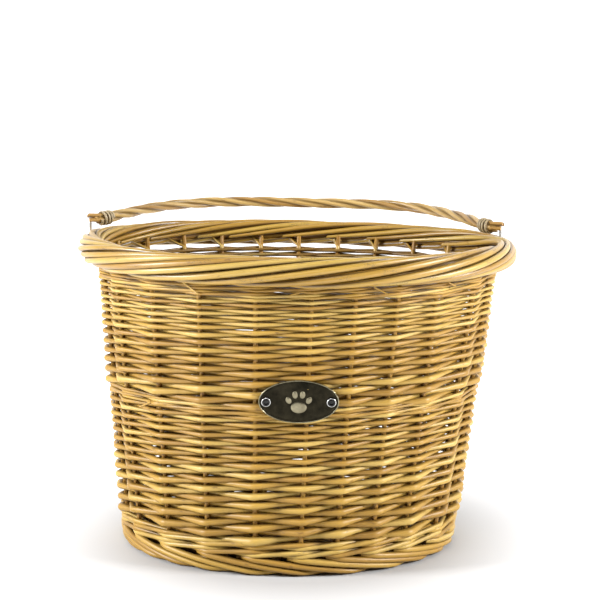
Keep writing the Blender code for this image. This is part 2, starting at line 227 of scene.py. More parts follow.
def placed(name, data):
    """A new object of the scene, with this data."""
    obj = bpy.data.objects.new(name, data)
    bpy.context.scene.collection.objects.link(obj)
    return obj


def distances(path):
    """How far along the path each of its points is."""
    return np.concatenate([[0.0], np.cumsum(np.linalg.norm(np.diff(path, axis=0), axis=1))])


SIDES = 10
THIN_SIDES = 8
THICK_SIDES = 12
# How narrow the painted shade along a crevice is drawn, and how dark the painted shade on a rod's
# inner side and on its tucked part is.
PLAIN_EDGE = 12
SHARP_EDGE = 14
INSIDE_SHADE = 0.60
TUCKED_SHADE = 0.25
# Each rod's grain starts somewhere within these metres, so that no two rods look alike.
GRAIN_STARTS = 5.0


class Rods:
    """Swept rods gathered into one mesh. Each point keeps its rod's tone and its place along and
    round the rod, and says if it is on a cut end and how much painted shade it takes from a
    crevice.

    The painted shade is a dark line along the top and bottom of a rod, where it meets its
    neighbours and lies in shade. A larger edge makes it narrower. The side that faces in is
    darkened with painted shade by inside."""

    def __init__(self, name, edge=PLAIN_EDGE, inside=0.0):
        self.name = name
        self.edge = edge
        self.inside = inside
        self.random = np.random.default_rng(zlib.crc32(name.encode()))
        self.points, self.grain, self.tone, self.cut, self.painted_crevice_shade = [], [], [], [], []
        self.faces = []
        self.count = 0

    def spread(self, amount, size=None):
        return self.random.uniform(-amount, amount, size)

    def add(
        self,
        path,
        radius,
        facing,
        height=None,
        tone=None,
        slant=(0.0, 0.0),
        sides=SIDES,
        tucked=0.0,
    ):
        """A rod along the path. Its section is radius along facing and height across it, slant
        cuts its ends, and tucked says how deep it lies among its neighbours, 0 to 1, which darkens
        it with painted shade."""
        radius = np.broadcast_to(radius, len(path)).astype(float)
        height = radius if height is None else np.broadcast_to(height, len(path))
        along = distances(path)
        forward = unit(np.gradient(path, along, axis=0))
        facing = np.broadcast_to(facing, path.shape)
        across = unit(facing - np.sum(facing * forward, axis=1, keepdims=True) * forward)
        upright = np.cross(forward, across)
        turn = FULL_TURN * np.arange(sides) / sides
        cosine, sine = np.cos(turn)[None, :, None], np.sin(turn)[None, :, None]
        skin = path[:, None] + cosine * (radius[:, None] * across)[:, None]
        skin = skin + sine * (height[:, None] * upright)[:, None]
        for end, amount in ((0, slant[0]), (-1, slant[1])):
            skin[end] += amount * radius[end] * cosine[0] * forward[end]
        tone = self.random.uniform() if tone is None else tone
        start = along + self.random.uniform(0, GRAIN_STARTS)
        grain = np.stack(
            [
                np.broadcast_to(start[:, None], (len(path), sides)),
                radius[:, None] * np.cos(turn),
                radius[:, None] * np.sin(turn),
            ],
            axis=-1,
        )
        tucked = np.broadcast_to(tucked, len(path))[:, None]
        # Painted shade: a dark line where rods meet, more where a rod lies tucked among its
        # neighbours, and on the side that faces in.
        painted_crevice_shade = np.abs(np.sin(turn)) ** self.edge + TUCKED_SHADE * tucked
        painted_crevice_shade = held(painted_crevice_shade + self.inside * held(-np.cos(turn)))
        self._store(skin, grain, tone, 0.0, painted_crevice_shade)
        this, following = np.arange(sides), (np.arange(sides) + 1) % sides
        rings = self.count + sides * np.arange(len(path) - 1)[:, None]
        corners = [rings + this, rings + following]
        corners += [corners[1] + sides, corners[0] + sides]
        self.faces += np.stack(corners, axis=-1).reshape(-1, 4).tolist()
        self.count += len(path) * sides
        for end, order in ((0, -1), (-1, 1)):
            ring = np.concatenate([skin[end], skin[end].mean(axis=0, keepdims=True)])
            shades = np.concatenate([grain[end], grain[end].mean(axis=0, keepdims=True)])
            self._store(ring[None], shades[None], tone, 1.0, np.zeros(sides + 1))
            for i in range(sides):
                corners = [self.count + i, self.count + (i + 1) % sides, self.count + sides]
                self.faces.append(corners[::order])
            self.count += sides + 1

    def _store(self, skin, grain, tone, cut, painted_crevice_shade):
        number = skin.shape[0] * skin.shape[1]
        self.points.append(skin.reshape(-1, 3))
        self.grain.append(grain.reshape(-1, 3))
        self.tone.append(np.full(number, tone))
        self.cut.append(np.full(number, cut))
        self.painted_crevice_shade.append(painted_crevice_shade.ravel())

    def object(self, look):
        mesh = bpy.data.meshes.new(self.name)
        mesh.from_pydata(np.concatenate(self.points).tolist(), [], self.faces)
        grain = mesh.attributes.new("grain", "FLOAT_VECTOR", "POINT")
        grain.data.foreach_set("vector", np.concatenate(self.grain).astype(np.float32).ravel())
        for name, values in (("tone", self.tone), ("cut", self.cut), ("painted_crevice_shade", self.painted_crevice_shade)):
            attribute = mesh.attributes.new(name, "FLOAT", "POINT")
            attribute.data.foreach_set("value", np.concatenate(values).astype(np.float32))
        mesh.materials.append(look)
        mesh.shade_smooth()
        return placed(self.name, mesh)


def on_frame(rods, look, body, slot, *nodes):
    """The rods as one piece that rides on a body and stands for its CAD nodes."""
    obj = rods.object(look)
    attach(obj, body)
    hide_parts(*nodes)


# Weaving.

# How far before a stake a rod starts to bend over it, and how far past it the bend ends.
STAKE_BEND = 0.0030
# From one stake to the next, a rod is sampled here: parts of the way, and how far it is from a
# stake, 0 to 1.
GAP_PLACES = np.array([0.0, 0.05, 0.10, 0.30, 0.50, 0.70, 0.90, 0.95])
FROM_STAKE = np.array([0.0, 0.10, 0.20, 0.60, 1.0, 0.60, 0.20, 0.10])


def woven(knots, bend=STAKE_BEND):
    """A line that runs straight from knot to knot and is rounded over each, with its places among
    the knots and how far from a knot each is."""

    def reach(knots):
        direction = unit(np.diff(knots, axis=0))
        before, after = knots.copy(), knots.copy()
        before[1:] -= bend * direction
        after[:-1] += bend * direction
        return before, after

    # The knots move out a little, because rounding draws the line in.
    before, after = reach(knots)
    knots = knots.copy()
    knots[1:-1] += (2 * knots - before - after)[1:-1] / 4
    before, after = reach(knots)
    leaving = [parabola(before, knots, after, part) for part in (0.5, 0.75)] + [after]
    coming = [before, parabola(before, knots, after, 0.25)]
    between = [after[:-1] + (before[1:] - after[:-1]) * part for part in (0.25, 0.5, 0.75)]
    samples = [line[:-1] for line in leaving] + between + [line[1:] for line in coming]
    path = np.stack(samples, axis=1).reshape(-1, 3)
    places = (np.arange(len(knots) - 1)[:, None] + GAP_PLACES).ravel()
    near = np.tile(FROM_STAKE, len(knots) - 1)
    path = np.concatenate([path, leaving[0][-1:]])
    return path, np.append(places, len(knots) - 1), np.append(near, 0.0)


def at_places(values, places):
    """Values known at the knots, read between them."""
    values = np.asarray(values, float)
    numbers = np.arange(len(values))
    if values.ndim == 1:
        return np.interp(places, numbers, values)
    return np.stack([np.interp(places, numbers, column) for column in values.T], axis=-1)


ROD_UNEVENNESS = 0.05
SQUEEZE_POWER = 1.3
TUCKED_POWER = 3
ROD_SLANT = 1.2


def lay_on_stakes(rods, numbers, heights, offsets, radii, squeeze=None):
    """One rod past these stakes, at each one's height and offset out from its centre line. Midway
    between two stakes, where it crosses its neighbours, squeeze is its half height."""
    angles = stake_angle(numbers)
    facing = outward(angles)
    knots = wall(angles, heights, WALL_MIDDLE) + facing * offsets[:, None]
    path, places, away = woven(knots)
    radius = at_places(radii * (1 + rods.spread(ROD_UNEVENNESS, len(radii))), places)
    height = radius
    if squeeze is not None:
        flat = away**SQUEEZE_POWER
        height = radius * (1 - flat) + at_places(squeeze, places) * flat
    facing = at_places(facing, places)
    slant = (-ROD_SLANT, ROD_SLANT)
    rods.add(path, radius, facing, height, slant=slant, tucked=away**TUCKED_POWER)


# A rod's centre line clears a stake's by these parts of the stake's radius and of its own.
STAKE_PART = 0.9
RAND_PART = 0.90
WALE_PART = 0.95

# Randing: how many rods climb together, how the rows' pitch falls from the bottom up, and a
# rod's radius, squeezed half height and uneven height as parts of the pitch.
SPIRAL_RODS = 12
PITCH_FALL = 1.5
ROD_PER_PITCH = 0.65
SQUEEZE_PER_PITCH = 0.49
UNEVEN_PER_PITCH = 0.17
RAND_UNEVEN_OFFSET = 0.0004
RAND_UNEVEN_RADIUS = 0.09


def randing(rods, bottom, rows, first_pitch, last_pitch):
    """Rods that pass in front of one stake and behind the next, and climb to the right as they go
    round."""
    fall = first_pitch - last_pitch

    def part(numbers, spiral, thickness):
        row = 0.5 * numbers + spiral
        left = np.clip(1 - row / rows, 0, None)
        pitch = last_pitch + fall * held(left) ** PITCH_FALL
        height = bottom + last_pitch * row
        height += fall * rows / (PITCH_FALL + 1) * (1 - left ** (PITCH_FALL + 1))
        radius = pitch * ROD_PER_PITCH * thickness
        front = (numbers + spiral) % 2 == 0
        offset = STAKE_PART * STAKE_RADIUS + RAND_PART * radius
        offset = offset + rods.spread(RAND_UNEVEN_OFFSET, len(numbers))
        offset = np.where(front, offset, -offset)
        height = height + rods.spread(UNEVEN_PER_PITCH, len(numbers)) * pitch
        lay_on_stakes(rods, numbers, height, offset, radius, SQUEEZE_PER_PITCH * pitch)

    # Each rod starts and ends behind a stake, and one follows another near the middle.
    for spiral in range(SPIRAL_RODS):
        first = -2 * spiral
        last = 2 * (rows - spiral)
        first -= (first + spiral + 1) % 2
        last += (last + spiral + 1) % 2
        join = (first + last) // 2 + 2 * rods.random.integers(-2, 3)
        join += (join + spiral + 1) % 2
        for start, end in ((first, join), (join, last)):
            thickness = 1 + rods.spread(RAND_UNEVEN_RADIUS)
            part(np.arange(start, end + 1), spiral, thickness)


# Waling: the rods of a set, its rounds, and how high each rod lies in its round, in pitches,
# behind a stake and in front of the two after it.
WALE_RODS = 3
WALE_ROUNDS = 2
WALE_RISE = [0.0, -0.25, 0.25]
WALE_UNEVEN_RISE = 0.03
WALE_UNEVEN_RADIUS = 0.10


def waling(rods, bottom, pitch, radius, start):
    """Sets of three rods: each passes in front of two stakes and behind one, and rises as it
    passes in front."""
    for turn in range(WALE_ROUNDS):
        for number in range(WALE_RODS):
            first = start + number
            numbers = first + np.arange(STAKES + 2)
            state = (numbers - first) % WALE_RODS
            rise = np.choose(state, WALE_RISE) + rods.spread(WALE_UNEVEN_RISE, len(numbers))
            heights = bottom + pitch * (turn + 0.5 + rise)
            thickness = radius * (1 + rods.spread(WALE_UNEVEN_RADIUS))
            offset = STAKE_PART * STAKE_RADIUS + WALE_PART * thickness
            offsets = np.choose(state, [-offset, offset, offset])
            lay_on_stakes(rods, numbers, heights, offsets, np.full(len(numbers), thickness))


# Looks.


class Nodes:
    """A material's node tree, with a short way to add nodes and to link them."""

    def __init__(self, name):
        self.material = bpy.data.materials.new(name)
        self.material.use_nodes = True
        self.tree = self.material.node_tree
        self.shader = self.tree.nodes["Principled BSDF"]

    def add(self, kind, inputs=None, **settings):
        node = self.tree.nodes.new("ShaderNode" + kind)
        for setting, value in settings.items():
            setattr(node, setting, value)
        for socket, value in (inputs or {}).items():
            self.put(value, node.inputs[socket])
        return node

    def put(self, value, socket):
        if isinstance(value, bpy.types.NodeSocket):
            self.tree.links.new(value, socket)
        else:
            socket.default_value = value

    def shade(self, **values):
        for name, value in values.items():
            self.put(value, self.shader.inputs[name.replace("_", " ")])

    def attribute(self, name, output="Fac"):
        return self.add("Attribute", attribute_name=name).outputs[output]

    def place(self):
        return self.add("TexCoord").outputs["Object"]

    def maths(self, operation, *values):
        return self.add("Math", dict(enumerate(values)), operation=operation).outputs[0]

    def noise(self, vector, scale, detail, roughness=0.55):
        inputs = {"Vector": vector, "Scale": scale, "Detail": detail, "Roughness": roughness}
        return self.add("TexNoise", inputs).outputs["Fac"]

    def grained(self, grain, scales, detail):
        """Noise at these scales along and across the grain."""
        stretched = self.add("Mapping", {"Vector": grain, "Scale": scales})
        return self.noise(stretched.outputs["Vector"], 1.0, detail)

    def ramp(self, factor, stops):
        node = self.add("ValToRGB", {"Fac": factor})
        elements = node.color_ramp.elements
        while len(elements) < len(stops):
            elements.new(0.5)
        for element, (place, colour) in zip(elements, stops):
            element.position = place
            element.color = (*colour, 1)
        return node.outputs["Color"]

    def step(self, value, low, high):
        """0 up to low and 1 from high on."""
        inputs = {"Value": value, "From Min": low, "From Max": high}
        return self.add("MapRange", inputs).outputs["Result"]

    def mix(self, factor, a, b):
        """Colour a, and b where the factor is 1. The node has sockets 6 and 7 for colours."""
        return self.add("Mix", {0: factor, 6: a, 7: b}, data_type="RGBA").outputs[2]

    def bump(self, height, distance, strength):
        inputs = {"Height": height, "Distance": distance, "Strength": strength}
        return self.add("Bump", inputs).outputs["Normal"]


# Tones of the willow, from its darkest to its lightest rods.
SIDING_TONES = [
    (0.00, (0.335, 0.176, 0.018)),
    (0.25, (0.382, 0.210, 0.024)),
    (0.50, (0.430, 0.246, 0.031)),
    (0.75, (0.475, 0.288, 0.044)),
    (1.00, (0.555, 0.375, 0.090)),
]
BORDER_TONES = [
    (0.00, (0.280, 0.138, 0.013)),
    (0.25, (0.345, 0.184, 0.019)),
    (0.55, (0.400, 0.228, 0.028)),
    (0.80, (0.445, 0.272, 0.040)),
    (1.00, (0.500, 0.335, 0.070)),
]
HANDLE_TONES = [
    (0.00, (0.300, 0.155, 0.030)),
    (0.50, (0.430, 0.255, 0.065)),
    (1.00, (0.540, 0.370, 0.130)),
]
BINDING_TONES = [
    (0.00, (0.270, 0.190, 0.090)),
    (0.50, (0.380, 0.290, 0.155)),
    (1.00, (0.480, 0.390, 0.240)),
]
STAKE_TONES = [
    (0.20, (0.250, 0.115, 0.014)),
    (0.50, (0.350, 0.180, 0.024)),
    (0.80, (0.440, 0.255, 0.042)),
]
# The core rods inside the border and the handle take this dark tone as painted shade, for they lie
# deep among the strands.
CORE_SHADE_TONE = 0.1
STUB_TONE = 0.15
KNOT_COLOUR = (0.10, 0.040, 0.010, 1)
SPECK_COLOUR = (0.060, 0.042, 0.022, 1)
# The colour and strength of the painted shade in the crevices between rods.
CREVICE_SHADE_COLOUR = (0.048, 0.019, 0.004, 1)
CUT_COLOUR = (0.50, 0.27, 0.075, 1)
KNOT_STRENGTH = 0.55
CREVICE_SHADE_STRENGTH = 0.95
CUT_STRENGTH = 0.75

# How fine each marking is, per metre along the grain and across it.
STREAKS = (35.0, 900.0, 900.0)
MOTTLING = (22.0, 90.0, 90.0)
KNOTS = (110.0, 260.0, 260.0)
SPECKS = (700.0, 1500.0, 1500.0)
SPECK_PATCHES = (28.0, 60.0, 60.0)
STAKE_SHADES = (4.0, 30.0, 30.0)


def willow(name, stops, gloss=0.50, coat=0.25, upright=False, specks=0.0):
    """Peeled willow: a tone for each rod, streaks along its grain, mottling and a few dark knots,
    and on swept rods painted shade in the crevices between them and pale cut ends. The frame's
    upright pieces have no attributes, so their grain runs up them."""
    look = Nodes(name)
    if upright:
        split = look.add("SeparateXYZ", {"Vector": look.place()}).outputs
        turned = {"X": split["Z"], "Y": split["X"], "Z": split["Y"]}
        grain = look.add("CombineXYZ", turned).outputs["Vector"]
        tone = look.grained(grain, STAKE_SHADES, 1.0)
    else:
        grain = look.attribute("grain", "Vector")
        tone = look.attribute("tone")
    streaks = look.grained(grain, STREAKS, 4.0)
    mottle = look.grained(grain, MOTTLING, 3.0)
    knots = look.step(look.grained(grain, KNOTS, 2.0), 0.66, 0.74)
    tone = look.maths("ADD", tone, look.maths("MULTIPLY_ADD", streaks, 0.34, -0.17))
    tone = look.maths("ADD", tone, look.maths("MULTIPLY_ADD", mottle, 0.50, -0.25))
    colour = look.ramp(tone, stops)
    colour = look.mix(look.maths("MULTIPLY", knots, KNOT_STRENGTH), colour, KNOT_COLOUR)
    if specks:
        dots = look.step(look.grained(grain, SPECKS, 2.0), 0.56, 0.64)
        patches = look.step(look.grained(grain, SPECK_PATCHES, 2.0), 0.55, 0.61)
        dots = look.maths("MULTIPLY", look.maths("MULTIPLY", dots, patches), specks)
        colour = look.mix(dots, colour, SPECK_COLOUR)
    if not upright:
        # Painted shade in the crevices, on the inner sides and on tucked parts.
        painted_crevice_shade = look.maths("MULTIPLY", look.attribute("painted_crevice_shade"), CREVICE_SHADE_STRENGTH)
        colour = look.mix(painted_crevice_shade, colour, CREVICE_SHADE_COLOUR)
        cut = look.maths("MULTIPLY", look.attribute("cut"), CUT_STRENGTH)
        colour = look.mix(cut, colour, CUT_COLOUR)
    rough = look.maths("MULTIPLY_ADD", streaks, 0.25, gloss - 0.12)
    look.shade(Base_Color=colour, Roughness=rough, Coat_Weight=coat, Coat_Roughness=0.38)
    look.shade(Normal=look.bump(streaks, 0.0004, 0.5))
    return look.material


def metal(name, colour, dark, roughness, grain_size):
    """Metal with fine wear: duller and darker in patches, and scratched."""
    look = Nodes(name)
    place = look.place()
    wear = look.noise(place, 1 / grain_size, 5.0, 0.65)
    scratches = look.noise(place, 9 / grain_size, 2.0, 0.6)
    colour = look.mix(look.step(wear, 0.35, 0.65), (*dark, 1), (*colour, 1))
    rough = look.maths("MULTIPLY_ADD", wear, 0.30, roughness - 0.15)
    look.shade(Base_Color=colour, Metallic=1.0, Roughness=rough)
    look.shade(Normal=look.bump(scratches, 0.0001, 0.35))
    return look.material


# The basket.

# Siding: its rods, its bottom, its rows, their pitch there and at its top, and its CAD node.
SIDINGS = [
    ("lower_siding_rods", (0.0362, 27, 0.0062, 0.0036), "lower_siding"),
    ("upper_siding_rods", (0.1690, 26, 0.0056, 0.0028), "upper_siding"),
]
# Wales: the rods, their bottom, pitch, radius and first stake, the slot and the CAD nodes.
WALES = [
    ("seam_wale_rods", (0.1590, 0.0048, 0.0016, 8), "willow_siding", []),
    ("top_wale_rods", (0.2722, 0.0056, 0.0015, 10), "willow_siding", ["top_wale"]),
    ("base_wale_rods", (0.0190, 0.0078, 0.0025, 12), "willow_border", ["base_wale"]),
]


def make_bands(look):
    for name, shape, node in SIDINGS:
        rods = Rods(name, inside=INSIDE_SHADE)
        randing(rods, *shape)
        on_frame(rods, look, "basket", "willow_siding", node)
    for name, shape, slot, nodes in WALES:
        rods = Rods(name, inside=INSIDE_SHADE if slot == "willow_siding" else 0.0)
        waling(rods, *shape)
        on_frame(rods, look, "basket", slot, *nodes)


# Loose tips: stake number, height, how far along (in stake gaps) and up it reaches, and its
# thickness.
TWIGS = [
    (-1.28, 0.2850, 0.36, -0.0105, 0.0013),
    (0.62, 0.2765, 0.22, 0.0040, 0.0011),
    (-2.12, 0.1625, -0.20, -0.0060, 0.0014),
    (2.35, 0.2835, 0.30, -0.0070, 0.0011),
    (4.30, 0.2790, -0.25, 0.0050, 0.0012),
    (9.40, 0.2800, 0.30, -0.0080, 0.0012),
    (13.2, 0.1650, -0.22, -0.0050, 0.0014),
    (17.6, 0.2810, 0.26, -0.0070, 0.0012),
]


def make_twigs(look):
    """Tips that have sprung a little way out of the weave."""
    rods = Rods("loose_tips")
    part = np.linspace(0, 1, 9)
    for number, height, reach, climb, radius in TWIGS:
        angle = stake_angle(number + reach * part)
        inset = 0.0020 - 0.0050 * part**1.5
        path = wall(angle, height + climb * part, inset)
        taper = 1 - 0.55 * part
        rods.add(path, radius * taper, outward(angle), slant=(0.0, 1.0), sides=THIN_SIDES)
    on_frame(rods, look, "basket", "willow_siding")


# The ends of the border rods are cut at this slant, and their waves start anywhere within this
# many radians.
TIP_SLANT = (0.0, 1.5)
PHASE = 3.0

# The rope border: a strand's radius, how far from the border's centre line it winds, how far it
# goes along the border in a full turn, how far from its stake it starts, and where its winding
# starts and ends, counted from straight out and over the top. It grows out of its stake, at these
# heights, and five core rods fill the middle.
BORDER_STRAND = 0.0030
BORDER_RING = 0.0104
BORDER_LEAD = 0.467
BORDER_SHIFT = 0.012
BORDER_START = math.radians(-118)
BORDER_END = math.radians(205)
BORDER_ROOT = (0.2800, 0.2850)
BORDER_CORE_RODS = 5
BORDER_CORE_TURNS = 3
BORDER_CORE_RING = 0.0043


def winding(angle, turn):
    """The directions from the border's centre line, at this turn from straight out."""
    return np.cos(turn)[:, None] * outward(angle) + np.sin(turn)[:, None] * UP


def make_rope_border(look):
    """Each stake's strand comes up under the border, rises over its outside and is tucked away
    inside."""
    rods = Rods("rope_border_rods", edge=SHARP_EDGE)
    part = np.linspace(0, 1, 64)
    turn = np.linspace(BORDER_START, BORDER_END, len(part))
    lead = BORDER_LEAD * (turn - BORDER_START) / FULL_TURN
    drawn_in = 0.0030 * held(1 - part / 0.08)
    tucked_in = 0.0022 * held(part / 0.2 - 4)
    taper = 1 - 0.40 * held((part - 0.75) / 0.25)
    for number in range(STAKES):
        stake = stake_angle(number)
        distance = RIM.distance(stake) + BORDER_SHIFT + lead
        distance = distance + rods.spread(0.004) + 0.003 * np.sin(7 * part + rods.spread(PHASE))
        angle = RIM.angle(distance)
        ring = BORDER_RING + rods.spread(0.0007)
        ring = ring + 0.0005 * np.sin(9 * part + rods.spread(PHASE)) - drawn_in - tucked_in
        facing = winding(angle, turn)
        path = border(angle) + ring[:, None] * facing
        radius = BORDER_STRAND * (1 + rods.spread(0.09)) * taper
        root = np.array([wall(stake, height, WALL_MIDDLE) for height in BORDER_ROOT])
        path = np.concatenate([root, path])
        facing = np.concatenate([np.broadcast_to(outward(stake), root.shape), facing])
        radius = np.concatenate([[STAKE_RADIUS, STAKE_RADIUS * 1.1], radius])
        rods.add(path, radius, facing, slant=TIP_SLANT, sides=THICK_SIDES)
    around = np.linspace(0, FULL_TURN, 121)
    for number in range(BORDER_CORE_RODS):
        turn = FULL_TURN * number / BORDER_CORE_RODS + BORDER_CORE_TURNS * around
        facing = winding(around, turn)
        path = border(around) + BORDER_CORE_RING * facing
        # The core rods are darkened with painted shade.
        rods.add(path, BORDER_STRAND, facing, tone=CORE_SHADE_TONE)
    on_frame(rods, look, "basket", "willow_border", "rope_border")


# The foot border: a rod's radius, how many stake gaps it spans, where it starts from its stake,
# in gaps, and where the rod inside it starts, and how high it starts and how far it falls.
FOOT_ROD = 0.0032
FOOT_SPAN = 3.4
FOOT_START = -0.25
FOOT_INNER_START = 0.3
FOOT_TOP = 0.0178
FOOT_FALL = 0.0146
FLOOR_GAP = 0.0001


def make_foot_border(look):
    """Rods that come out under the base wale and sweep down to the right, each over the end of
    the last, and a second set inside them that climbs."""
    rods = Rods("foot_border_rods")
    part = np.linspace(0, 1, 40)
    reach = FOOT.length * FOOT_SPAN / STAKES * part
    drop = FOOT_FALL * held((part - 0.04) / 0.8)
    coming_out = 0.0055 * held(1 - part / 0.10) ** 1.5
    going_in = 0.0080 * held((part - 0.72) / 0.28) ** 2
    inset = 0.0032 + coming_out + going_in
    inner_inset = 0.0125 + 0.0025 * np.cos(math.pi * part)
    inner_height = 0.0042 + 0.0075 * part
    for number in range(STAKES):
        angle = FOOT.angle(FOOT.distance(stake_angle(number + FOOT_START)) + reach)
        height = FOOT_TOP - drop + rods.spread(0.0003)
        radius = FOOT_ROD * (1 + rods.spread(0.08)) * (1 - 0.25 * part)
        path = wall(angle, np.maximum(height, radius + FLOOR_GAP), inset)
        rods.add(path, radius, outward(angle), slant=TIP_SLANT)
        angle = FOOT.angle(FOOT.distance(stake_angle(number + FOOT_INNER_START)) + reach)
        path = wall(angle, inner_height, inner_inset)
        rods.add(path, radius * 0.95, outward(angle), slant=TIP_SLANT, sides=THIN_SIDES)
    on_frame(rods, look, "basket", "willow_border", "foot_border")


# The base weave: its rings, from the outermost in, their pitch, a rod's radius, and how far a
# ring rises and dips at the sticks. A ring that crosses fewer sticks than the fewest is left out.
BASE_ROWS = 22
BASE_FIRST_INSET = 0.0165
BASE_PITCH = 0.0049
BASE_ROD = 0.0022
BASE_WAVE = 0.0052
FEWEST_CROSSINGS = 4


def make_base(look):
    """Rings of weave from the wall in, each over one stick and under the next."""
    rods = Rods("base_weave_rods")
    sticks_x = BASE_SHIFT_X + CROSS_STICK_SPACING * np.arange(-2, 3)
    sticks_y = CENTRE_Y + LONG_STICKS_Y + LONG_STICK_SPACING * np.arange(-1, 2)
    angles = np.linspace(-math.pi, math.pi, 241)
    for row in range(BASE_ROWS):
        ring = wall(angles, 0.0, BASE_FIRST_INSET + BASE_PITCH * row)
        crossings = []
        for axis, lines in ((0, sticks_x), (1, sticks_y)):
            for line in lines:
                signs = np.sign(ring[:, axis] - line)
                crossings += angles[:-1][signs[1:] * signs[:-1] < 0].tolist()
        if len(crossings) < FEWEST_CROSSINGS:
            continue
        crossings = np.sort(np.array(crossings))
        swing = np.where((np.arange(len(crossings)) + row) % 2 == 0, 1.0, -1.0)
        places = np.concatenate([crossings - FULL_TURN, crossings, crossings + FULL_TURN])
        level = np.interp(angles, places, np.tile(swing, 3))
        path = ring + UP * (STICK_HEIGHT + BASE_WAVE * np.sin(level * math.pi / 2))[:, None]
        rods.add(path, BASE_ROD * (1 + rods.spread(0.1)), UP, sides=THIN_SIDES)
    on_frame(rods, look, "basket", "willow_base", "base_weave")


# The handle. Its strands wind round its centre line at this distance, and go this far along in a
# full turn, round a core. Cut stubs stick out of each end, at these turns. Its binding is flat.
HANDLE_STRANDS = 4
HANDLE_STRAND = 0.0026
HANDLE_RING = 0.0032
HANDLE_LEAD = 0.140
HANDLE_CORE = 0.0016
STUB_TURNS = np.radians([-165, 125, 35])
STUB_RADIUS = 0.0021
STUB_RING = 0.0041
STUB_START = 0.1985
STUB_END = 0.2095
STUB_STEP = 0.0014
BINDING_TURNS = 4.0
BINDING_RING = HANDLE_RADIUS + 0.0008
BINDING_THICKNESS = 0.0009
BINDING_WIDTH = 0.00155


def handle_points(along, out):
    x = HANDLE_SHIFT_X + along
    y = CENTRE_Y + PIVOT_Y + out * math.cos(HANDLE_TILT)
    return np.stack([x, y, PIVOT_HEIGHT - SIDE_SLOPE * x + out * math.sin(HANDLE_TILT)], axis=-1)


def corner(steps=7):
    """The rounded corner where an arm of the bow turns outwards: along and out, from the bow to
    the end."""
    slope = HANDLE_ARCH_POWER * HANDLE_REACH / HANDLE_HALF_SPAN
    run = HANDLE_CORNER / math.hypot(1, slope)
    start = np.array([HANDLE_HALF_SPAN - run, run * slope])
    middle = np.array([HANDLE_HALF_SPAN, 0])
    end = np.array([HANDLE_HALF_SPAN + 0.7 * HANDLE_CORNER, 0])
    return parabola(start, middle, end, np.linspace(0, 1, steps)[:, None])


def handle_line():
    """The whole handle's centre line, from its left end to its right end."""
    right = corner()
    start = right[0, 0]
    along = start * np.sin(math.pi / 2 * np.linspace(-1, 1, 61)[1:-1])
    out = HANDLE_REACH * (1 - np.abs(along / HANDLE_HALF_SPAN) ** HANDLE_ARCH_POWER)
    left = right[::-1] * [-1, 1]
    plan = np.concatenate([left, np.stack([along, out], axis=-1), right])
    return handle_points(plan[:, 0], plan[:, 1])


def resampled(path, count):
    """The path in equal steps, and how far along it each point is."""
    along = distances(path)
    places = np.linspace(0, along[-1], count)
    return np.stack([np.interp(places, along, column) for column in path.T], axis=-1), places


def around_line(path, turn, ring):
    """Points at this turn and distance round a line in the bow's plane, and the directions they
    face."""
    forward = unit(np.gradient(path, axis=0))
    side = np.cross(BOW_NORMAL, forward)
    facing = np.cos(turn)[:, None] * side + np.sin(turn)[:, None] * BOW_NORMAL
    ring = np.broadcast_to(ring, len(path))
    return path + ring[:, None] * facing, facing


def make_handle(look, split):
    path, along = resampled(handle_line(), 200)
    rods = Rods("handle_rods", edge=SHARP_EDGE)
    for number in range(HANDLE_STRANDS):
        turn = FULL_TURN * (number / HANDLE_STRANDS + along / HANDLE_LEAD)
        ring = HANDLE_RING + 0.0003 * np.sin(along * 90 + rods.spread(PHASE))
        strand, facing = around_line(path, turn, ring)
        radius = HANDLE_STRAND * (1 + rods.spread(0.06))
        rods.add(strand, radius, facing, slant=(1.0, 1.0))
    # The core rod is darkened with painted shade.
    rods.add(path[4:-4], HANDLE_CORE, BOW_NORMAL, tone=CORE_SHADE_TONE)
    for side in (-1, 1):
        for number, turn in enumerate(STUB_TURNS):
            reach = np.linspace(STUB_START, STUB_END + STUB_STEP * number, 6)
            stub = handle_points(side * reach, np.zeros(6))
            shift = STUB_RING * np.array([0, math.cos(turn), math.sin(turn)])
            rods.add(stub + shift, STUB_RADIUS, shift, slant=(0, -0.35), tone=STUB_TONE)
    on_frame(rods, look, "handle", "willow_handle", "handle_bow")
    for name, side in (("left", -1), ("right", 1)):
        plan = corner(13)[:9] * [side, 1]
        core, places = resampled(handle_points(plan[:, 0], plan[:, 1]), 90)
        turn = FULL_TURN * BINDING_TURNS * places / places[-1]
        strip, facing = around_line(core, turn, BINDING_RING)
        binding = Rods("binding_" + name + "_strip")
        binding.add(strip, BINDING_THICKNESS, facing, height=BINDING_WIDTH)
        on_frame(binding, split, "handle", "split_willow", "handle_binding_" + name)


# The name plate.


def plate_frame():
    """The middle of the plate's back, and its directions along, up and out."""
    angle = seam_angle(PLATE_PLACE)
    step = 0.001
    middle = wall(angle, PLATE_CENTRE_HEIGHT)
    along = wall(angle + step, PLATE_CENTRE_HEIGHT) - wall(angle - step, PLATE_CENTRE_HEIGHT)
    along = unit(along)
    upwards = wall(angle, PLATE_CENTRE_HEIGHT + step) - wall(angle, PLATE_CENTRE_HEIGHT - step)
    out = unit(np.cross(along, upwards))
    return middle, along, np.cross(out, along), out


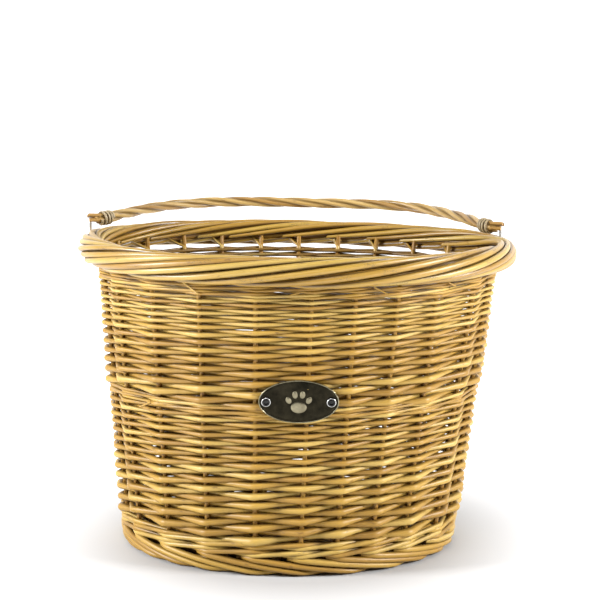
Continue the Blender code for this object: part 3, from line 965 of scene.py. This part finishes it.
def dome(bm, centre, width, height, tilt, rise, place):
    """A low oval pad, domed like a coin's relief."""
    rings, sides = 5, 20
    rows = []
    for ring in range(rings):
        reach = math.cos(math.pi / 2 * ring / rings)
        level = rise * math.sin(math.pi / 2 * ring / rings)
        row = []
        for i in range(sides):
            turn = FULL_TURN * i / sides
            x, y = width * reach * math.cos(turn), height * reach * math.sin(turn)
            across = x * math.cos(tilt) - y * math.sin(tilt)
            upright = x * math.sin(tilt) + y * math.cos(tilt)
            row.append(bm.verts.new(place(centre[0] + across, centre[1] + upright, level)))
        rows.append(row)
    for row, following in zip(rows, rows[1:]):
        for i in range(sides):
            bm.faces.new((row[i - 1], row[i], following[i], following[i - 1]))
    bm.faces.new(rows[-1])


# The paw's pads, in metres from the plate's middle: across, up, half width, half height, tilt
# and rise.
PADS = [
    (0, -0.0054, 0.0074, 0.0057, 0, 0.0008),
    (-0.0094, 0.0014, 0.0025, 0.0036, 0.5, 0.0007),
    (-0.0035, 0.0067, 0.0025, 0.0036, 0.15, 0.0007),
    (0.0035, 0.0067, 0.0025, 0.0036, -0.15, 0.0007),
    (0.0094, 0.0014, 0.0025, 0.0036, -0.5, 0.0007),
]
EMBLEM_SINK = 0.0001


def make_emblem(look):
    """A plain paw print in low relief."""
    middle, along, upright, out = plate_frame()

    def place(x, y, level):
        return Vector(middle + along * x + upright * y + out * (PLATE_FACE - EMBLEM_SINK + level))

    bm = bmesh.new()
    for x, y, width, height, tilt, rise in PADS:
        dome(bm, (x, y), width, height, tilt, rise, place)
    mesh = bpy.data.meshes.new("plate_emblem")
    bm.to_mesh(mesh)
    bm.free()
    mesh.materials.append(look)
    mesh.shade_smooth()
    obj = placed("plate_emblem", mesh)
    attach(obj, "basket")


TRIM_RADIUS = 0.0005
EDGE_INSET = 0.0005
BEZEL_INSET = 0.0024
TRIM_SINK = 0.0002
# The rings round the rivets, which carry their painted highlight.
RIM_RING = 0.0039
RIM_RISE = 0.0014


def make_plate_trim(edge, bezel, rim_highlight):
    """A bright line round the plate's edge, a dark raised line inside it, and on each rivet a
    bright ring, a painted highlight that stands in for the glints on a polished dome."""
    middle, along, upright, out = plate_frame()
    turn = np.linspace(0, FULL_TURN, 97)
    width, height = PLATE_WIDTH / 2, PLATE_HEIGHT / 2
    rivet = RIVET_SPACING / 2
    for name, look, shift, across, up, level in (
        ("plate_edge", edge, 0, width - EDGE_INSET, height - EDGE_INSET, -TRIM_SINK),
        ("plate_bezel", bezel, 0, width - BEZEL_INSET, height - BEZEL_INSET, -TRIM_SINK),
        ("rivet_rim_left", rim_highlight, -rivet, RIM_RING, RIM_RING, RIM_RISE),
        ("rivet_rim_right", rim_highlight, rivet, RIM_RING, RIM_RING, RIM_RISE),
    ):
        x, y = shift + across * np.cos(turn), up * np.sin(turn)
        path = middle + x[:, None] * along + y[:, None] * upright + (PLATE_FACE + level) * out
        line = Rods(name)
        line.add(path, TRIM_RADIUS, out, sides=THIN_SIDES)
        on_frame(line, look, "basket", "plate_metal")


def finish_nodes(plate):
    """Materials of the CAD nodes that stay."""
    stake = willow("stake_willow", STAKE_TONES, upright=True)
    stick = willow("stick_willow", STAKE_TONES, 0.55, upright=True)
    steel = metal("hinge_steel_wire", (0.80, 0.80, 0.79), (0.50, 0.50, 0.49), 0.30, 0.004)
    # The rivets and washers are nearly black metal, their darkness a painted reflection of dark
    # surroundings in a polished dome.
    rivet = metal("rivet_dark_reflection_metal", (0.045, 0.045, 0.045), (0.020, 0.020, 0.020), 0.20, 0.003)
    looks = {
        "stake_": stake,
        "cross_stick": stick,
        "long_stick": stick,
        "hinge_wire": steel,
        "name_plate": plate,
        "rivet_": rivet,
        "washer_": rivet,
    }
    for name, node in frame["nodes"].items():
        for start, look in looks.items():
            if name.startswith(start):
                for slot in node.material_slots:
                    slot.material = look


# The studio.


def aim(obj, place, direction):
    """Puts a light or a camera at a place, to look in a direction."""
    obj.location = place
    obj.rotation_euler = direction.to_track_quat("-Z", "Y").to_euler()


def area_light(name, place, target, size, power):
    light = bpy.data.lights.new(name, "AREA")
    light.shape = "SQUARE"
    light.size = size
    light.energy = power
    aim(placed(name, light), place, Vector(target) - Vector(place))


def sheet(name, corners, colour):
    """A flat sheet of studio paper, and the nodes of its look."""
    mesh = bpy.data.meshes.new(name)
    mesh.from_pydata(corners, [], [(0, 1, 2, 3)])
    look = Nodes(name + "_paper")
    look.shade(Base_Color=colour, Roughness=0.9, Emission_Color=(1, 1, 1, 1))
    mesh.materials.append(look.material)
    return placed(name, mesh), look


FLOOR_REACH = 12.0
# The floor glows from the first distance on, and fully from the second, so that the basket's
# shadow fades into white.
FLOOR_GLOW = (0.15, 0.34)
BACKDROP_REACH = 6.0
BACKDROP_Y = 4.0
BACKDROP_HEIGHT = 5.0
WORLD_LIGHT = 0.05


def make_studio():
    reach = FLOOR_REACH
    corners = [(-reach, -reach, 0), (reach, -reach, 0), (reach, reach, 0), (-reach, reach, 0)]
    floor, look = sheet("floor", corners, (0.46, 0.46, 0.465, 1))
    away = look.add("VectorMath", {"Vector": look.place()}, operation="LENGTH").outputs["Value"]
    look.shade(Emission_Strength=look.step(away, *FLOOR_GLOW))
    reach, back, top = BACKDROP_REACH, BACKDROP_Y, BACKDROP_HEIGHT
    corners = [(-reach, back, 0), (reach, back, 0), (reach, back, top), (-reach, back, top)]
    backdrop, look = sheet("backdrop", corners, (0.93, 0.93, 0.94, 1))
    look.shade(Emission_Strength=1.0)
    # The world looks white behind the basket, but lights it only a little.
    world = bpy.data.worlds.new("studio")
    world.use_nodes = True
    tree = world.node_tree
    background = tree.nodes["Background"]
    background.inputs["Color"].default_value = (1, 1, 1, 1)
    strength = tree.nodes.new("ShaderNodeMapRange")
    strength.inputs["To Min"].default_value = WORLD_LIGHT
    seen = tree.nodes.new("ShaderNodeLightPath").outputs["Is Camera Ray"]
    tree.links.new(seen, strength.inputs["Value"])
    tree.links.new(strength.outputs["Result"], background.inputs["Strength"])
    bpy.context.scene.world = world
    area_light("left_softbox", (-1.8, -0.70, 1.0), (0, 0, 0.15), 0.5, 62)
    area_light("right_softbox", (1.8, -0.55, 1.0), (0, 0, 0.15), 0.5, 57)
    area_light("top_softbox", (-0.2, -1.2, 1.8), (0, 0, 0.1), 0.9, 11)


CAMERA_PLACE = (0.1305, -1.5700, 0.4996)
CAMERA_DIRECTION = Vector((-0.0799, 0.9839, -0.1593))
CAMERA_LENS = 95.1


def make_camera():
    camera = bpy.data.cameras.new("camera")
    camera.lens = CAMERA_LENS
    obj = placed("camera", camera)
    aim(obj, CAMERA_PLACE, CAMERA_DIRECTION)
    bpy.context.scene.camera = obj


def main():
    border_look = willow("border_willow", BORDER_TONES, 0.42, coat=0.60, specks=0.8)
    make_bands(willow("siding_willow", SIDING_TONES))
    make_twigs(willow("tip_willow", SIDING_TONES))
    make_rope_border(border_look)
    make_foot_border(willow("foot_willow", SIDING_TONES))
    make_base(willow("base_willow", STAKE_TONES, 0.55))
    handle_look = willow("handle_willow", HANDLE_TONES, 0.42)
    make_handle(handle_look, willow("binding_willow", BINDING_TONES))
    plate = metal("plate_antique_metal", (0.028, 0.024, 0.015), (0.010, 0.009, 0.006), 0.36, 0.012)
    make_emblem(metal("emblem_metal", (0.30, 0.27, 0.18), (0.16, 0.14, 0.09), 0.32, 0.010))
    # The rivet rings are bright metal: a painted highlight for the glints on the domes.
    rim_highlight = metal("rivet_rim_highlight_metal", (0.82, 0.82, 0.80), (0.45, 0.45, 0.44), 0.20, 0.003)
    edge = metal("trim_metal", (0.36, 0.33, 0.22), (0.18, 0.16, 0.10), 0.30, 0.010)
    make_plate_trim(edge, plate, rim_highlight)
    finish_nodes(plate)
    make_studio()
    make_camera()
    bpy.context.scene.view_settings.view_transform = "Standard"


main()
